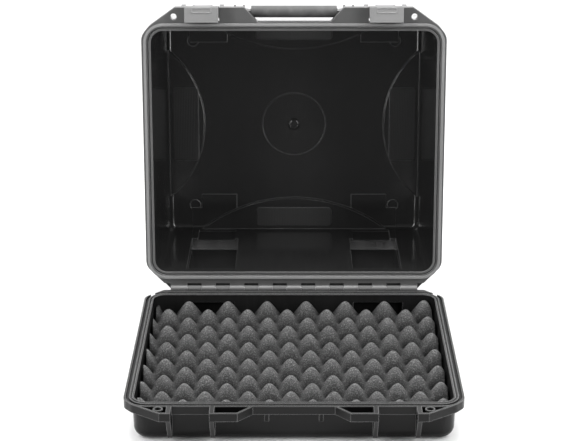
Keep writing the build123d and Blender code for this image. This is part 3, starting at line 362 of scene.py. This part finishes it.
# ---- egg-crate foam ---------------------------------------------------------------------------
def egg_crate():
    """The lid's convoluted foam: staggered rounded cones over a slab, cut square at its sides."""
    low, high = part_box("lid_foam")
    step = 2.0 * MM
    pitch = 57.7 * MM
    top = high.z
    valley = top - 31 * MM
    roundness = 1.05
    corner = 15.0 * MM
    phase_x = 18.0 * MM
    # The columns drift to one side and draw together between the rear edge and the front.
    drift_start = 11.5 * MM
    drift_length = 342 * MM
    drift = 13 * MM
    drift_easing = 6 * MM
    narrowing = 0.028
    # The front rows are pushed together: each gap between rows is a little less than the one behind it.
    first_row = 7.0 * MM
    row_gap = 31.3 * MM
    row_taper = 0.316 * MM
    # The cut half cones stand a little proud where the side walls squeeze them.
    side_lift = 3 * MM
    side_reach = 25 * MM
    skirt_scale = 0.985
    skirt_lift = 0.4 * MM
    nx = int(round((high.x - low.x) / step))
    ny = int(round((high.y - low.y) / step))
    xs = np.linspace(low.x, high.x, nx + 1)
    ys = np.linspace(low.y, high.y, ny + 1)
    grid_x, grid_y = np.meshgrid(xs, ys, indexing="ij")
    back = high.y - grid_y
    share = np.clip((back - drift_start) / drift_length, 0, 1)
    shift = drift * share - drift_easing * share ** 2
    lattice_x = (grid_x - shift) / (1 - narrowing * share)
    u = 2 * math.pi * (lattice_x - phase_x) / pitch
    # back = first_row + row_gap * row - row_taper * row ** 2, solved for the row
    row = (row_gap - np.sqrt(row_gap ** 2 - 4 * row_taper * (back - first_row))) / (2 * row_taper)
    v = math.pi * row
    wave = (np.cos(u) * np.cos(v) + 1) / 2
    heights = valley + (top - valley) * np.power(wave, roundness)
    edge = np.minimum(grid_x - low.x, high.x - grid_x)
    heights = heights + side_lift * np.clip(1 - edge / side_reach, 0, 1) * wave
    # The slab's corners are round in plan.
    half_x, half_y = (high.x - low.x) / 2, (high.y - low.y) / 2
    mid_x, mid_y = (high.x + low.x) / 2, (high.y + low.y) / 2
    over_x = np.maximum(np.abs(grid_x - mid_x) - (half_x - corner), 0)
    over_y = np.maximum(np.abs(grid_y - mid_y) - (half_y - corner), 0)
    reach = np.hypot(over_x, over_y)
    pull = np.where(reach > corner, corner / np.maximum(reach, 1e-9), 1.0)

    def rounded(grid, mid, half, over):
        straight = np.minimum(np.abs(grid - mid), half - corner)
        return mid + np.sign(grid - mid) * (straight + over * pull)

    place_x = rounded(grid_x, mid_x, half_x, over_x)
    place_y = rounded(grid_y, mid_y, half_y, over_y)
    work = bmesh.new()
    tops = [[work.verts.new((place_x[i, j], place_y[i, j], heights[i, j])) for j in range(ny + 1)]
            for i in range(nx + 1)]
    for i in range(nx):
        for j in range(ny):
            work.faces.new((tops[i][j], tops[i + 1][j], tops[i + 1][j + 1], tops[i][j + 1]))
    rim = [tops[i][0] for i in range(nx)] + [tops[nx][j] for j in range(ny)]
    rim += [tops[i][ny] for i in range(nx, 0, -1)] + [tops[0][j] for j in range(ny, 0, -1)]
    floor_ring = []
    for vert in rim:
        in_x = mid_x + (vert.co.x - mid_x) * skirt_scale
        in_y = mid_y + (vert.co.y - mid_y) * skirt_scale
        floor_ring.append(work.verts.new((in_x, in_y, low.z + skirt_lift)))
    count = len(rim)
    for k in range(count):
        after = (k + 1) % count
        work.faces.new((rim[after], rim[k], floor_ring[k], floor_ring[after]))
    work.faces.new(floor_ring)
    bmesh.ops.recalc_face_normals(work, faces=work.faces)
    mesh = bpy.data.meshes.new("lid_foam_egg_crate")
    work.to_mesh(mesh)
    work.free()
    for face in mesh.polygons:
        face.use_smooth = True
    foam = bpy.data.objects.new("lid_foam_egg_crate", mesh)
    bpy.context.scene.collection.objects.link(foam)
    foam.data.materials.append(materials["foam"])
    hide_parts("lid_foam")
    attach(foam, "lid")


egg_crate()

# ---- camera -----------------------------------------------------------------------------------
CAMERA_PLACE = Vector((0, -2.358, 0.959))     # from the hinge
LOOKING_DOWN = 19.86
camera_data = bpy.data.cameras.new("view")
camera_data.sensor_width = 36
camera_data.lens = 104.2
camera = bpy.data.objects.new("view", camera_data)
camera.location = hinge + CAMERA_PLACE
camera.rotation_euler = (math.radians(90 - LOOKING_DOWN), 0, 0)
bpy.context.scene.collection.objects.link(camera)
bpy.context.scene.camera = camera


# ---- floor and light --------------------------------------------------------------------------
def pale_floor():
    bpy.ops.mesh.primitive_plane_add(size=1, location=(0, 7.15, 0))
    floor = bpy.context.object
    floor.scale = (30, 15.1, 1)
    floor.name = "floor"
    tree = Tree("pale_floor")
    faint = tree.ramp(tree.noise(1.5, 3.0, 0.5), [(0.3, 0.83), (0.7, 0.86)])
    tree.finish(faint, 0.9, None, Specular_IOR_Level=0.1)
    floor.data.materials.append(tree.material)


def studio_world():
    """White behind the case; for its reflections, a dark room in front that pales towards the back."""
    dark, bright = 0.12, 2.6
    world = bpy.data.worlds.new("studio")
    world.use_nodes = True
    tree = world.node_tree
    background = tree.nodes["Background"]
    background.inputs["Strength"].default_value = 0.95
    seen = tree.nodes.new("ShaderNodeLightPath")
    place = tree.nodes.new("ShaderNodeTexCoord")
    split = tree.nodes.new("ShaderNodeSeparateXYZ")
    room = tree.nodes.new("ShaderNodeMapRange")
    room.inputs["From Min"].default_value = -0.6
    room.inputs["From Max"].default_value = 0.7
    room.inputs["To Min"].default_value = dark
    room.inputs["To Max"].default_value = bright
    seen_white = tree.nodes.new("ShaderNodeMix")
    seen_white.data_type = "RGBA"
    seen_white.inputs[7].default_value = (1.06, 1.06, 1.06, 1)
    tree.links.new(place.outputs["Generated"], split.inputs[0])
    tree.links.new(split.outputs["Y"], room.inputs["Value"])
    tree.links.new(room.outputs["Result"], seen_white.inputs[6])
    tree.links.new(seen.outputs["Is Camera Ray"], seen_white.inputs[0])
    tree.links.new(seen_white.outputs[2], background.inputs["Color"])
    bpy.context.scene.world = world


def soft_light(name, place, aim, size, power):
    data = bpy.data.lights.new(name, "AREA")
    data.shape = "RECTANGLE"
    data.size, data.size_y = size
    data.energy = power
    light = bpy.data.objects.new(name, data)
    light.location = place
    light.visible_camera = False
    light.rotation_euler = (Vector(aim) - Vector(place)).to_track_quat("-Z", "Y").to_euler()
    bpy.context.scene.collection.objects.link(light)


pale_floor()
studio_world()
soft_light("top_light", (0, 0.0, 1.9), (0, 0.0, 0.2), (1.4, 0.9), 26)
soft_light("left_strip", (-0.95, -0.62, 0.82), (0, 0.1, 0.35), (0.3, 1.6), 14)
soft_light("right_strip", (0.95, -0.62, 0.82), (0, 0.1, 0.35), (0.3, 1.6), 14)

bpy.context.scene.view_settings.view_transform = "Standard"
